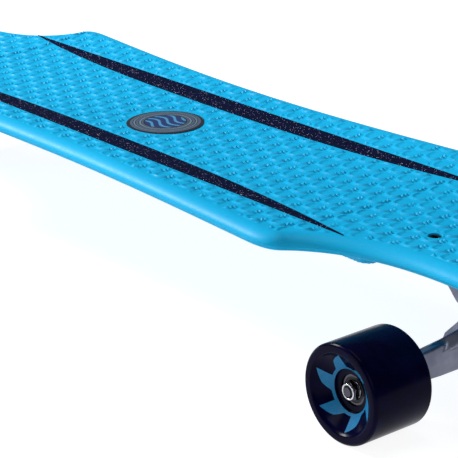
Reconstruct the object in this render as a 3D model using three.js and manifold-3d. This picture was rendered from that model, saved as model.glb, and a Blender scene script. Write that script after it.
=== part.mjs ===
// A plastic longboard: a waisted, concave deck on two reverse-kingpin trucks with four 70 mm wheels.
// Millimetres. +X is along the board towards the front, +Z is up, and the origin is on the ground
// under the middle of the deck.
import * as THREE from 'three';
import { mergeVertices } from 'three/addons/utils/BufferGeometryUtils.js';
import Module from 'manifold-3d';

const wasm = await Module();
wasm.setup();

// ---- Driving dimensions -------------------------------------------------------------------------
const GAP = 0.3;                    // clearance kept between neighbouring pieces
const TAU = Math.PI * 2;

const WHEEL_RADIUS = 35;
const WHEEL_WIDTH = 51;
const WHEEL_Y = 103.5;              // middle of a wheel from the middle of the board
const WHEEL_SEGMENTS = 28;          // an even number, so that each wheel stands on a flat
const AXLE_X = 352.6;               // axle from the middle of the board, so the wheelbase is 705 mm
const AXLE_Z = WHEEL_RADIUS;
const AXLE_RADIUS = 3.97;

const DECK_TOP = 111.5;             // top of the deck on its centre line
const DECK_THICKNESS = 11.2;
const DECK_LENGTH = 914;
const CONCAVE = 6 / 100 ** 2;       // height of the top is DECK_TOP + CONCAVE * y^2
const WAIST_HALF = 107.15;          // half width in the middle
const NECK_HALF = 63.5;             // half width over the trucks
const CORNER_X = 271;               // where the wheel cut-aways begin
const CORNER_HALF = 111;            // half width where a cut-away turns inwards
const NOSE_LENGTH = 60;             // length of the rounded nose and tail
const PAD_BOTTOM = 100;             // flat pads that the trucks are bolted to
const BELLY_BOTTOM = 92;            // stiffening panel between the trucks

const BADGE_RADIUS = 31.8;
const STRIPE_LENGTH = 588;
const STRIPE_WIDTH = 19.9;
const STRIPE_OUTER = 72.3;          // outer edge of a grip stripe from the centre line
const GRIP_THICKNESS = 0.9;

const BOLT_ROWS = 53.98;            // spacing of the deck bolts along the board
const BOLT_COLUMNS = 41.28;         // spacing of the deck bolts across the board
const PATTERN_X = 3.2;              // middle of the bolt pattern, outboard of the axle
const BOLT_RADIUS = 2.4;
const BOLT_HEAD_RADIUS = 4.7;
const BOLT_HEAD_TOP = DECK_TOP - 0.6;
const BOLT_END = 86;                // lowest point of a deck bolt
const PAD_HALF_LENGTH = 46;
const PAD_HALF_WIDTH = 32;
const BELLY_HALF_LENGTH = 306;
const BELLY_HALF_WIDTH = 62;

const PLATE_TOP = PAD_BOTTOM - GAP;
const PLATE_THICKNESS = 6;
const PLATE_BOTTOM = PLATE_TOP - PLATE_THICKNESS;
const PLATE_LENGTH = 82;
const PLATE_WIDTH = 56;

const STEER_ANGLE = Math.PI / 4;    // steering axis above the horizontal, outboard end high
const RAKE = 3;                     // steering axis passes this far above the axle
const RING_S = 42.4;                // middle of the hanger ring, along the steering axis
const PIVOT_S = -17.7;              // middle of the pivot ball, along the steering axis
const RING_HALF = 5;                // half thickness of the hanger ring
const RING_RADIUS = 17;
const KINGPIN_RADIUS = 4.76;
const BUSHING_RADIUS = 13;
const BOARD_BUSHING = 14;           // length of the bushing on the deck side
const ROAD_BUSHING = 12;            // length of the bushing on the road side
const WASHER = 2;                   // thickness of a cup washer

const BEARING_RADIUS = 11;
const BEARING_WIDTH = 7;
const BEARING_DEPTH = 13;           // bearing face below the wheel face
const HUB_RADIUS = 15;
const SHOULDER_Y = 90;              // half of the 180 mm hanger
const AXLE_NUT = 4.5;               // height of an axle nut

// ---- Materials ----------------------------------------------------------------------------------
function material(color, roughness, metalness) {
  return new THREE.MeshStandardMaterial({ color, roughness, metalness });
}
const BLUE_PLASTIC = material(0x1ea0dc, 0.35, 0);
const GRIP = material(0x140a2d, 0.85, 0);
const BADGE = material(0x6f7d92, 0.2, 0);
const URETHANE = material(0x08061e, 0.25, 0);
const CAST_METAL = material(0x6c7084, 0.35, 0.9);
const STEEL = material(0x9a9ca0, 0.3, 1);
const BLACK_STEEL = material(0x141418, 0.4, 0.8);
const BUSHING = material(0x101018, 0.5, 0);
const NYLON = material(0x16161a, 0.6, 0);

// ---- Solid helpers ------------------------------------------------------------------------------
function solid(geometry) {
  const bare = geometry.index ? geometry.clone() : geometry;
  bare.deleteAttribute('normal');
  bare.deleteAttribute('uv');
  const merged = mergeVertices(bare, 1e-4);
  return new wasm.Manifold(new wasm.Mesh({
    numProp: 3,
    vertProperties: new Float32Array(merged.attributes.position.array),
    triVerts: new Uint32Array(merged.index.array),
  }));
}

function geometryOf(manifold) {
  const mesh = manifold.getMesh();
  const geometry = new THREE.BufferGeometry();
  geometry.setAttribute('position', new THREE.BufferAttribute(mesh.vertProperties, 3));
  geometry.setIndex(new THREE.BufferAttribute(mesh.triVerts, 1));
  return geometry;
}

function join(solids) {
  return solids.reduce((whole, piece) => whole.add(piece));
}

function piece(name, manifold, finish) {
  const mesh = new THREE.Mesh(geometryOf(manifold), finish);
  mesh.name = name;
  return mesh;
}

function box(x0, x1, y0, y1, z0, z1) {
  const geometry = new THREE.BoxGeometry(x1 - x0, y1 - y0, z1 - z0);
  return solid(geometry.translate((x0 + x1) / 2, (y0 + y1) / 2, (z0 + z1) / 2));
}

// A turned solid about the Z axis from a closed profile of [radius, height] points.
function turned(profile, segments) {
  const points = profile.map(([r, h]) => new THREE.Vector2(r, h));
  return solid(new THREE.LatheGeometry(points, segments).rotateX(Math.PI / 2));
}

function cylinder(radius, z0, z1, segments = 20) {
  return turned([[0, z0], [radius, z0], [radius, z1], [0, z1]], segments);
}

function tube(inner, outer, z0, z1, segments = 20) {
  return turned([[inner, z0], [outer, z0], [outer, z1], [inner, z1], [inner, z0]], segments);
}

// A prism whose outline is given in X and Z and whose length runs along Y, centred on Y = 0.
function prismAlongY(outline, halfWidth) {
  const shape = new THREE.Shape(outline.map(([x, z]) => new THREE.Vector2(x, z)));
  const geometry = new THREE.ExtrudeGeometry(shape, { depth: halfWidth * 2, bevelEnabled: false });
  return solid(geometry.rotateX(Math.PI / 2).translate(0, halfWidth, 0));
}

function upright(shape, z0, z1, curveSegments = 12) {
  const geometry = new THREE.ExtrudeGeometry(shape, { depth: z1 - z0, bevelEnabled: false, curveSegments });
  return solid(geometry.translate(0, 0, z0));
}

function moved(manifold, matrix) {
  return solid(geometryOf(manifold).applyMatrix4(matrix));
}

// ---- Deck ---------------------------------------------------------------------------------------
function deckHeight(y) {
  return DECK_TOP + CONCAVE * y * y;
}

function sideHalfWidth(x) {
  const t = x / 300;
  return WAIST_HALF + 22.8 * t ** 2 - 6.5 * t ** 4;
}

// One quarter of the outline, from the middle of the side to the tip of the nose, in x > 0 and y > 0.
function deckQuarter() {
  const side = [];
  const bend = CORNER_X - 24;
  for (let i = 0; i <= 6; i += 1) {
    const x = (bend * i) / 6;
    side.push(new THREE.Vector2(x, sideHalfWidth(x)));
  }
  const corner = new THREE.QuadraticBezierCurve(
    new THREE.Vector2(bend, sideHalfWidth(bend)),
    new THREE.Vector2(CORNER_X - 1.5, sideHalfWidth(CORNER_X)),
    new THREE.Vector2(CORNER_X + 3.5, CORNER_HALF),
  );
  const flank = new THREE.CubicBezierCurve(
    new THREE.Vector2(CORNER_X + 3.5, CORNER_HALF),
    new THREE.Vector2(CORNER_X + 12, 92),
    new THREE.Vector2(CORNER_X + 35, NECK_HALF + 1),
    new THREE.Vector2(CORNER_X + 104, NECK_HALF),
  );
  const noseStart = DECK_LENGTH / 2 - NOSE_LENGTH;
  const nose = [];
  for (let i = 0; i <= 8; i += 1) {
    const angle = (Math.PI / 2) * (1 - i / 8);
    nose.push(new THREE.Vector2(noseStart + NOSE_LENGTH * Math.cos(angle), NECK_HALF * Math.sin(angle)));
  }
  return [...side, ...corner.getPoints(4).slice(1), ...flank.getPoints(8).slice(1), ...nose];
}

function deckShape() {
  const quarter = deckQuarter();
  const rear = quarter.slice(1).map((p) => new THREE.Vector2(-p.x, p.y)).reverse();
  const upper = [...rear, ...quarter];
  const lower = upper.slice(1, -1).map((p) => new THREE.Vector2(p.x, -p.y)).reverse();
  return new THREE.Shape([...upper, ...lower]);
}

// A curved sheet that follows the concave of the deck, between two heights above the top surface.
function concaveSheet(below, above, halfLength) {
  const halfWidth = 130;
  const steps = 14;
  const outline = [];
  for (let i = 0; i <= steps; i += 1) {
    const y = halfWidth * (-1 + (2 * i) / steps);
    outline.push(new THREE.Vector2(y, deckHeight(y) + above));
  }
  for (let i = steps; i >= 0; i -= 1) {
    const y = halfWidth * (-1 + (2 * i) / steps);
    outline.push(new THREE.Vector2(y, deckHeight(y) + below));
  }
  const geometry = new THREE.ExtrudeGeometry(new THREE.Shape(outline), {
    depth: halfLength * 2, bevelEnabled: false,
  });
  const toBoard = new THREE.Matrix4().makeBasis(
    new THREE.Vector3(0, 1, 0), new THREE.Vector3(0, 0, 1), new THREE.Vector3(1, 0, 0),
  );
  return solid(geometry.applyMatrix4(toBoard).translate(-halfLength, 0, 0));
}

function roundedRectangle(halfLength, halfWidth, radius) {
  const shape = new THREE.Shape();
  shape.moveTo(-halfLength + radius, -halfWidth);
  shape.absarc(halfLength - radius, -halfWidth + radius, radius, -TAU / 4, 0);
  shape.absarc(halfLength - radius, halfWidth - radius, radius, 0, TAU / 4);
  shape.absarc(-halfLength + radius, halfWidth - radius, radius, TAU / 4, TAU / 2);
  shape.absarc(-halfLength + radius, -halfWidth + radius, radius, TAU / 2, (TAU * 3) / 4);
  return shape;
}

function boltPlaces() {
  const places = [];
  for (const end of [1, -1]) {
    for (const dx of [-BOLT_ROWS / 2, BOLT_ROWS / 2]) {
      for (const y of [-BOLT_COLUMNS / 2, BOLT_COLUMNS / 2]) {
        places.push({ end, x: end * (AXLE_X + PATTERN_X + dx), y });
      }
    }
  }
  return places;
}

function boltHole() {
  const head = BOLT_HEAD_RADIUS + GAP;
  const shank = BOLT_RADIUS + GAP;
  const seat = BOLT_HEAD_TOP - 0.5;
  const slope = head - shank;
  return turned([
    [0, BOLT_END - 6], [shank, BOLT_END - 6], [shank, seat - slope], [head, seat],
    [head, DECK_TOP + 5], [0, DECK_TOP + 5],
  ], 12);
}

function makeDeck() {
  const outline = upright(deckShape(), BELLY_BOTTOM - 4, DECK_TOP + 20);
  const shell = outline.intersect(concaveSheet(-DECK_THICKNESS, 0, DECK_LENGTH / 2 + 10));
  const belly = upright(
    roundedRectangle(BELLY_HALF_LENGTH, BELLY_HALF_WIDTH, 12), BELLY_BOTTOM, DECK_TOP - 5, 3,
  );
  const pads = [1, -1].map((end) => {
    const middle = end * (AXLE_X + PATTERN_X);
    return box(
      middle - PAD_HALF_LENGTH, middle + PAD_HALF_LENGTH, -PAD_HALF_WIDTH, PAD_HALF_WIDTH,
      PAD_BOTTOM, DECK_TOP - 5,
    );
  });
  let deck = join([shell, belly, ...pads]);
  for (const place of boltPlaces()) {
    deck = deck.subtract(boltHole().translate([place.x, place.y, 0]));
  }
  const badgePocket = cylinder(BADGE_RADIUS + GAP, DECK_TOP - 0.8, DECK_TOP + 5, 36);
  return deck.subtract(badgePocket);
}

function stripeShape(side) {
  const halfLength = STRIPE_LENGTH / 2;
  const steps = 24;
  const outer = [];
  const inner = [];
  for (let i = 0; i <= steps; i += 1) {
    const x = -halfLength * Math.cos((Math.PI * i) / steps);
    const width = STRIPE_WIDTH * (1 - Math.abs(x / halfLength) ** 2.6);
    outer.push(new THREE.Vector2(x, side * STRIPE_OUTER));
    if (i > 0 && i < steps) {
      inner.push(new THREE.Vector2(x, side * (STRIPE_OUTER - width)));
    }
  }
  return new THREE.Shape([...outer, ...inner.reverse()]);
}

function makeStripe(side) {
  const outline = upright(stripeShape(side), 100, DECK_TOP + 20);
  return outline.intersect(concaveSheet(GAP, GAP + GRIP_THICKNESS, DECK_LENGTH / 2));
}

function makeBadge() {
  const foot = DECK_TOP - 0.8 + GAP;
  const top = DECK_TOP + 1.1;
  return turned([
    [0, foot], [BADGE_RADIUS, foot], [BADGE_RADIUS, top - 0.9], [BADGE_RADIUS - 1.5, top - 0.2], [0, top],
  ], 36);
}

function makeBolt(place) {
  const seat = BOLT_HEAD_TOP - 0.5;
  const slope = BOLT_HEAD_RADIUS - BOLT_RADIUS;
  const bolt = turned([
    [0, BOLT_END], [BOLT_RADIUS, BOLT_END], [BOLT_RADIUS, seat - slope], [BOLT_HEAD_RADIUS, seat],
    [BOLT_HEAD_RADIUS, BOLT_HEAD_TOP], [0, BOLT_HEAD_TOP],
  ], 12);
  const socket = cylinder(1.9, BOLT_HEAD_TOP - 2, BOLT_HEAD_TOP + 1, 6);
  return bolt.subtract(socket).translate([place.x, place.y, 0]);
}

function hexNut(acrossFlats, bore, z0, z1) {
  const corner = acrossFlats / Math.sqrt(3);
  return cylinder(corner, z0, z1, 6).subtract(cylinder(bore, z0 - 1, z1 + 1, 12));
}

function makeDeckNut(place) {
  const top = PLATE_BOTTOM - GAP;
  return hexNut(9.5, BOLT_RADIUS + 0.25, top - 5, top).translate([place.x, place.y, 0]);
}

// ---- Truck, in its own frame: X outboard, origin on the ground under the axle ---------------------
const COS = Math.cos(STEER_ANGLE);
const SIN = Math.sin(STEER_ANGLE);
const AXIS_FOOT = [-RAKE * SIN, AXLE_Z + RAKE * COS];   // point of the steering axis nearest the axle

// A point given along the steering axis (s) and along the kingpin (u), as [X, Z].
function steerPoint(s, u) {
  return [AXIS_FOOT[0] + s * COS + u * SIN, AXIS_FOOT[1] + s * SIN - u * COS];
}

// Moves a solid turned about Z so that its axis is the kingpin, with its heights read from the ring.
function onKingpin(manifold) {
  const [x, z] = steerPoint(RING_S, 0);
  const basis = new THREE.Matrix4().makeBasis(
    new THREE.Vector3(COS, 0, SIN), new THREE.Vector3(0, -1, 0), new THREE.Vector3(SIN, 0, -COS),
  );
  return moved(manifold, basis.setPosition(x, 0, z));
}

// Moves a solid turned about Z so that its axis is the steering axis, with its heights read from the pivot.
function onPivot(manifold) {
  const [x, z] = steerPoint(PIVOT_S, 0);
  const basis = new THREE.Matrix4().makeBasis(
    new THREE.Vector3(SIN, 0, -COS), new THREE.Vector3(0, 1, 0), new THREE.Vector3(COS, 0, SIN),
  );
  return moved(manifold, basis.setPosition(x, 0, z));
}

const SEAT_U = -(RING_HALF + GAP + BOARD_BUSHING + GAP + WASHER + GAP);
const HEAD_U = SEAT_U - 8;
const CUP_RADIUS = 9;
const BOSS_RADIUS = 11.5;

function makeBaseplate() {
  const x0 = PATTERN_X - PLATE_LENGTH / 2;
  const x1 = PATTERN_X + PLATE_LENGTH / 2;
  const plate = upright(roundedRectangle(PLATE_LENGTH / 2, PLATE_WIDTH / 2, 8), PLATE_BOTTOM, PLATE_TOP, 4)
    .translate([PATTERN_X, 0, 0]);
  const seatLow = steerPoint(RING_S - 14, SEAT_U);
  const seatHigh = steerPoint(RING_S + 14, SEAT_U);
  const wedge = prismAlongY([
    [x0 + 1, PLATE_BOTTOM + 1], [-9, PLATE_BOTTOM - 28], [-3, PLATE_BOTTOM - 28], seatLow, seatHigh,
    [x1 - 12, PLATE_BOTTOM + 1],
  ], 14);
  const leg = prismAlongY([
    [-13, 72], [-13, 49], [-26, 36], [-29, 28], [-22, 25], steerPoint(PIVOT_S + 2, -8),
    [-3, 51.4], [-3, 72],
  ], 8);
  const boss = onPivot(cylinder(BOSS_RADIUS, -9, 2));
  const cup = onPivot(cylinder(CUP_RADIUS + GAP, -6.5, 20));
  const kingpinBore = onKingpin(cylinder(KINGPIN_RADIUS + GAP, HEAD_U - 30, 10, 14));
  const headPocket = onKingpin(cylinder(8.3, HEAD_U - 40, HEAD_U + GAP, 16));
  let plateSolid = join([plate, wedge, leg, boss]).subtract(cup).subtract(kingpinBore).subtract(headPocket);
  for (const dx of [-BOLT_ROWS / 2, BOLT_ROWS / 2]) {
    for (const y of [-BOLT_COLUMNS / 2, BOLT_COLUMNS / 2]) {
      const hole = cylinder(BOLT_RADIUS + GAP, PLATE_BOTTOM - 2, PLATE_TOP + 2, 10);
      plateSolid = plateSolid.subtract(hole.translate([PATTERN_X + dx, y, 0]));
    }
  }
  return plateSolid;
}

function makePivotCup() {
  const wall = 1.6;
  return onPivot(turned([
    [0, -6.2], [CUP_RADIUS, -6.2], [CUP_RADIUS, 1.7], [CUP_RADIUS - wall, 1.7],
    [CUP_RADIUS - wall, -3], [CUP_RADIUS - wall - 2, -4.6], [0, -4.6],
  ], 20));
}

function makeKingpin() {
  const end = RING_HALF + GAP + ROAD_BUSHING + GAP + WASHER + GAP + 11;
  return onKingpin(turned([
    [0, HEAD_U - 4], [8, HEAD_U - 4], [8, HEAD_U], [KINGPIN_RADIUS, HEAD_U],
    [KINGPIN_RADIUS, end], [0, end],
  ], 14));
}

function makeKingpinNut() {
  const start = RING_HALF + GAP + ROAD_BUSHING + GAP + WASHER + GAP;
  return onKingpin(hexNut(14.3, KINGPIN_RADIUS + GAP, start, start + 8));
}

function makeBushing(u0, u1, r0, r1) {
  const bore = KINGPIN_RADIUS + GAP;
  return onKingpin(turned([[bore, u0], [r0, u0], [r1, u1], [bore, u1], [bore, u0]], 20));
}

function makeWasher(u0) {
  return onKingpin(tube(KINGPIN_RADIUS + GAP, 14, u0, u0 + WASHER, 20));
}

// One arm of the hanger, from the middle of the truck out to the wheel. Its top falls away outwards.
function hangerArm(side) {
  const inner = 8;
  const outer = 77;
  const section = [[-11, 26], [-12, 38], [-1, 49], [12, 53], [14, 40], [9, 26]];
  const shape = new THREE.Shape(section.map(([x, z]) => new THREE.Vector2(x, z)));
  const steps = 6;
  const geometry = new THREE.ExtrudeGeometry(shape, { depth: outer - inner, bevelEnabled: false, steps });
  const position = geometry.attributes.position;
  for (let i = 0; i < position.count; i += 1) {
    const along = position.getZ(i) / (outer - inner);
    const fall = 1 - 0.36 * along ** 2;
    const x = position.getX(i) * (1 - 0.25 * along ** 2);
    const z = position.getY(i);
    const squashed = z > AXLE_Z ? AXLE_Z + (z - AXLE_Z) * fall : z;
    position.setXYZ(i, x, inner + position.getZ(i), squashed);
  }
  geometry.applyMatrix4(new THREE.Matrix4().makeScale(1, side, 1));
  if (side > 0) {
    flipFaces(geometry);
  }
  return solid(geometry);
}

function flipFaces(geometry) {
  const position = geometry.attributes.position;
  for (let i = 0; i < position.count; i += 3) {
    const [ax, ay, az] = [position.getX(i), position.getY(i), position.getZ(i)];
    position.setXYZ(i, position.getX(i + 1), position.getY(i + 1), position.getZ(i + 1));
    position.setXYZ(i + 1, ax, ay, az);
  }
}

function makeHanger() {
  const alongY = new THREE.Matrix4().makeRotationX(-Math.PI / 2).setPosition(0, 0, AXLE_Z);
  const core = moved(cylinder(11, -20, 20, 16), alongY);
  const shoulders = [1, -1].map((side) => {
    const profile = [[0, 70], [9.5, 70], [9.5, 77], [6.5, 82], [6.5, SHOULDER_Y], [0, SHOULDER_Y]];
    const turnedShoulder = turned(profile, 14);
    const basis = new THREE.Matrix4().makeRotationX(side * -Math.PI / 2).setPosition(0, 0, AXLE_Z);
    return moved(turnedShoulder, basis);
  });
  const web = prismAlongY([
    steerPoint(0, -5.5), steerPoint(0, 6), steerPoint(RING_S, RING_HALF), steerPoint(RING_S, -RING_HALF),
  ], 15);
  const gusset = onKingpin(upright(new THREE.Shape([
    new THREE.Vector2(6, -13), new THREE.Vector2(6, 13), new THREE.Vector2(-32, 52),
    new THREE.Vector2(-42, 52), new THREE.Vector2(-42, -52), new THREE.Vector2(-32, -52),
  ]), -RING_HALF, RING_HALF));
  const legRoom = prismAlongY([
    steerPoint(-40, -38), steerPoint(-40, -5.5), steerPoint(22, -5.5), steerPoint(22, -38),
  ], 12);
  const ring = onKingpin(cylinder(RING_RADIUS, -RING_HALF, RING_HALF, 24));
  const bore = onKingpin(cylinder(8.5, -20, 20, 16));
  const nose = onPivot(turned([
    [0, -4.3], [4.5, -4.3], [6.9, -2.2], [6.9, 3], [8.5, 12], [8.5, 22], [0, 22],
  ], 16));
  const axleBore = moved(cylinder(AXLE_RADIUS + GAP, -140, 140, 12), alongY);
  const noseRoom = onPivot(cylinder(20, -30, 5));
  const body = join([core, hangerArm(1), hangerArm(-1), ...shoulders, web, gusset, ring]);
  return body.subtract(legRoom).subtract(noseRoom).add(nose).subtract(bore).subtract(axleBore);
}

function makeAxle() {
  const half = WHEEL_Y + WHEEL_WIDTH / 2 - BEARING_DEPTH + AXLE_NUT + 1.5;
  const rod = turned([
    [0, -half], [AXLE_RADIUS - 0.8, -half], [AXLE_RADIUS, -half + 0.8], [AXLE_RADIUS, half - 0.8],
    [AXLE_RADIUS - 0.8, half], [0, half],
  ], 16);
  return moved(rod, new THREE.Matrix4().makeRotationX(-Math.PI / 2).setPosition(0, 0, AXLE_Z));
}

// ---- Wheel parts, turned about Z with the outer face up, then laid along the axle -----------------
const FACE = WHEEL_WIDTH / 2;
const BEARING_OUT = FACE - BEARING_DEPTH;
const BEARING_IN = BEARING_OUT - BEARING_WIDTH;

// The tread is drawn through the middles of its flats, so that the wheel stands at its true radius.
function makeWheel() {
  const tread = WHEEL_RADIUS / Math.cos(Math.PI / WHEEL_SEGMENTS);
  const face = [
    [BEARING_RADIUS - 2.2, BEARING_IN - GAP], [BEARING_RADIUS, BEARING_IN - GAP],
    [BEARING_RADIUS, BEARING_OUT + 1], [HUB_RADIUS, BEARING_OUT + 1.5], [HUB_RADIUS, FACE - 10],
    [27, FACE - 2], [28.5, FACE], [34, FACE], [tread, FACE - 1],
  ];
  const back = face.map(([r, h]) => [r, -h]).reverse();
  const wheel = turned([...face, ...back, face[0]].reverse(), WHEEL_SEGMENTS);
  return wheel.rotate([0, 0, 180 / WHEEL_SEGMENTS]);
}

function makeOuterRaces() {
  const inner = BEARING_RADIUS - 4.4;
  const outer = BEARING_RADIUS - GAP;
  const link = BEARING_RADIUS - 2.2 - GAP;
  return turned([
    [inner, -BEARING_OUT], [outer, -BEARING_OUT], [outer, -BEARING_IN], [link, -BEARING_IN],
    [link, BEARING_IN], [outer, BEARING_IN], [outer, BEARING_OUT], [inner, BEARING_OUT],
    [inner, -BEARING_OUT],
  ], 20);
}

function makeInnerRaces() {
  return tube(AXLE_RADIUS + GAP, BEARING_RADIUS - 4.7, -BEARING_OUT, BEARING_OUT, 16);
}

function makeAxleNut() {
  const start = BEARING_OUT + 1;
  return hexNut(13, AXLE_RADIUS + GAP, start, start + AXLE_NUT);
}

// ---- Assembly -----------------------------------------------------------------------------------
function onAxle(manifold, side) {
  const basis = new THREE.Matrix4().makeRotationX(side * -Math.PI / 2);
  return moved(manifold, basis.setPosition(0, side * WHEEL_Y, AXLE_Z));
}

function truckParts(end) {
  const boardWasher = SEAT_U + GAP;
  const roadWasher = RING_HALF + GAP + ROAD_BUSHING + GAP;
  const seat = RING_HALF + GAP;
  const boardBushing = makeBushing(-seat - BOARD_BUSHING, -seat, BUSHING_RADIUS, BUSHING_RADIUS);
  const roadBushing = makeBushing(seat, seat + ROAD_BUSHING, BUSHING_RADIUS - 0.5, 10.5);
  const parts = [
    piece(`baseplate_${end}`, makeBaseplate(), CAST_METAL),
    piece(`pivot_cup_${end}`, makePivotCup(), NYLON),
    piece(`kingpin_${end}`, makeKingpin(), STEEL),
    piece(`kingpin_nut_${end}`, makeKingpinNut(), STEEL),
    piece(`bushing_board_${end}`, boardBushing, BUSHING),
    piece(`bushing_road_${end}`, roadBushing, BUSHING),
    piece(`washer_board_${end}`, makeWasher(boardWasher), STEEL),
    piece(`washer_road_${end}`, makeWasher(roadWasher), STEEL),
    piece(`hanger_${end}`, makeHanger(), CAST_METAL),
    piece(`axle_${end}`, makeAxle(), STEEL),
  ];
  for (const [side, hand] of [[-1, 'right'], [1, 'left']]) {
    const label = `${end}_${hand}`;
    const turn = end === 'rear' ? -side : side;
    parts.push(piece(`wheel_${label}`, onAxle(makeWheel(), turn), URETHANE));
    parts.push(piece(`bearing_races_${label}`, onAxle(makeOuterRaces(), turn), STEEL));
    parts.push(piece(`bearing_spacer_${label}`, onAxle(makeInnerRaces(), turn), STEEL));
    parts.push(piece(`axle_nut_${label}`, onAxle(makeAxleNut(), turn), STEEL));
  }
  return parts;
}

const board = new THREE.Group();
board.add(piece('deck', makeDeck(), BLUE_PLASTIC));
board.add(piece('grip_stripe_left', makeStripe(1), GRIP));
board.add(piece('grip_stripe_right', makeStripe(-1), GRIP));
board.add(piece('badge', makeBadge(), BADGE));

for (const [end, side] of [['front', 1], ['rear', -1]]) {
  const truck = new THREE.Group();
  truck.position.set(side * AXLE_X, 0, 0);
  truck.rotation.z = side > 0 ? 0 : Math.PI;
  truck.add(...truckParts(end));
  board.add(truck);
}

boltPlaces().forEach((place, i) => {
  const end = place.end > 0 ? 'front' : 'rear';
  const number = (i % 4) + 1;
  board.add(piece(`deck_bolt_${end}_${number}`, makeBolt(place), BLACK_STEEL));
  board.add(piece(`deck_nut_${end}_${number}`, makeDeckNut(place), STEEL));
});

export default board;
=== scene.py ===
"""Visual model of a plastic longboard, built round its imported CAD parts.

Shapes are worked out in millimetres, in the shared frame: +X along the board towards the front,
+Y to the left, +Z up, ground at 0.
"""

import math

import bmesh
import bpy
import numpy as np
from mathutils import Matrix


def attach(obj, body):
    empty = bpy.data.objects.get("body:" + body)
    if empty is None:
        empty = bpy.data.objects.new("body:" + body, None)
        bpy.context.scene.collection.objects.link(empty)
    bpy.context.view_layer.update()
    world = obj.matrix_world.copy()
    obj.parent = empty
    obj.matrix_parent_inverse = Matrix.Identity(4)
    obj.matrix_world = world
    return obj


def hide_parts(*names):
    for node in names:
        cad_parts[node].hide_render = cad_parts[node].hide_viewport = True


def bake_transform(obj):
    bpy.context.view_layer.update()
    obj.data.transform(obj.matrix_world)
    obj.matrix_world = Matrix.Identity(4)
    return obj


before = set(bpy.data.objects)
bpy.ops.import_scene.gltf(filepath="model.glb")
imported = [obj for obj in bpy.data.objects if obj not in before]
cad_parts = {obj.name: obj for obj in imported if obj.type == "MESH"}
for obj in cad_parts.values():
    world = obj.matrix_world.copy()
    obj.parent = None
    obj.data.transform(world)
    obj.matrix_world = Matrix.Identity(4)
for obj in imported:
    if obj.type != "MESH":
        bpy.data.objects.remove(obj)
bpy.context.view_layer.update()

# ---- Driving dimensions, in millimetres ----------------------------------------------------------
MM = 0.001
TAU = 2 * math.pi

AXLE_X = 352.6
WHEEL_Y = 103.5
WHEEL_RADIUS = 35.0
WHEEL_FACE = 25.5  # outer face from the middle of the wheel
AXLE_RADIUS = 3.97

DECK_TOP = 111.5
DECK_THICKNESS = 11.2
DECK_HALF_LENGTH = 457.0
CONCAVE = 6 / 100**2
WAIST_HALF = 107.15
NECK_HALF = 63.5
CORNER_X = 271.0
CORNER_HALF = 111.0
NOSE_LENGTH = 60.0
RIM_INSET = 12.0  # width of the smooth rounded border
RIM_DROP = 8.2  # height of its rounding, above the parting line
RIM_POWER = 1.2  # 1 rounds the rim as an ellipse, 2 cuts it straight
BELLY_BOTTOM = 92.0
BELLY_HALF = (306.0, 62.0)
PAD_BOTTOM = 100.0
PAD_HALF = (46.0, 32.0)

BADGE_RADIUS = 31.8
STRIPE_HALF_LENGTH = 294.0
STRIPE_OUTER = 72.3
STRIPE_WIDTH = 19.9
GRIP_THICKNESS = 0.9

PATTERN_X = AXLE_X + 3.2  # middle of the deck bolts
BOLT_ROWS = 53.98
BOLT_COLUMNS = 41.28
BOLT_RADIUS = 2.4
BOLT_HEAD_RADIUS = 4.7
BOLT_HEAD_TOP = DECK_TOP - 0.6
BOLT_END = 86.0
PLATE_BOTTOM = 93.7

HOLE_RADIUS = 4.95
HOLE_CUT = 5.6  # the sheet of the deck's top is sunk inside this radius
HOLE_BORDER = 6.4  # outer edge of the lip round a hole

SCALLOP_COLUMN = 16.75  # spacing of the moulded scallops along the board
SCALLOP_ROW = 18.0
SCALLOP_ORIGIN = 250.0  # one column of scallops is centred here
SCALLOP_SHIFTS = (11.4, 20.4)  # where even and odd columns start across the board
SCALLOP_HALF = 6.9  # half width of one scallop
SCALLOP_HEIGHT = 1.6
BEAD_SPACING = 3.4

RING_S = 42.4  # middle of the hanger ring along the steering axis
RING_HALF = 5.0
BOARD_SEAT = -21.9  # baseplate face, along the kingpin from the hanger ring
KINGPIN_RADIUS = 4.76

BEARING_FACE = 12.5
BEARING_RADIUS = 11.0
HUB_RADIUS = 15.0

SEGMENTS = 96
ANGLES = np.linspace(0, TAU, SEGMENTS, endpoint=False)


# ---- Mesh helpers --------------------------------------------------------------------------------
def grid_faces(rows, columns, wrap=False):
    """Quads over a grid of points stored row by row; wrap joins each row's end to its start."""
    row = np.arange(rows - 1)[:, None] * columns
    last = columns if wrap else columns - 1
    here = np.arange(last)[None, :]
    beside = (here + 1) % columns
    quads = np.stack([row + here, row + beside, row + columns + beside, row + columns + here], -1)
    return quads.reshape(-1, 4)


def gather(parts):
    """Several (points, faces) pairs as one."""
    points = []
    faces = []
    count = 0
    for part_points, part_faces in parts:
        points.append(part_points)
        faces.append(np.asarray(part_faces) + count)
        count += len(part_points)
    return np.concatenate(points), np.concatenate(faces)


def make_piece(name, shape, material, body=None, replaces=(), crease=32):
    """A smooth-shaded object from (points in mm, quads), riding on a CAD body."""
    points, faces = shape
    mesh = bpy.data.meshes.new(name)
    mesh.from_pydata((points * MM).tolist(), [], faces.tolist())
    bm = bmesh.new()
    bm.from_mesh(mesh)
    bmesh.ops.remove_doubles(bm, verts=bm.verts, dist=2e-6)
    bmesh.ops.recalc_face_normals(bm, faces=bm.faces)
    for face in bm.faces:
        face.smooth = True
    bm.to_mesh(mesh)
    bm.free()
    mesh.set_sharp_from_angle(angle=math.radians(crease))
    mesh.materials.append(material)
    piece = bpy.data.objects.new(name, mesh)
    bpy.context.scene.collection.objects.link(piece)
    if body:
        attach(piece, body)
    if replaces:
        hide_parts(*replaces)
    return piece


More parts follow.
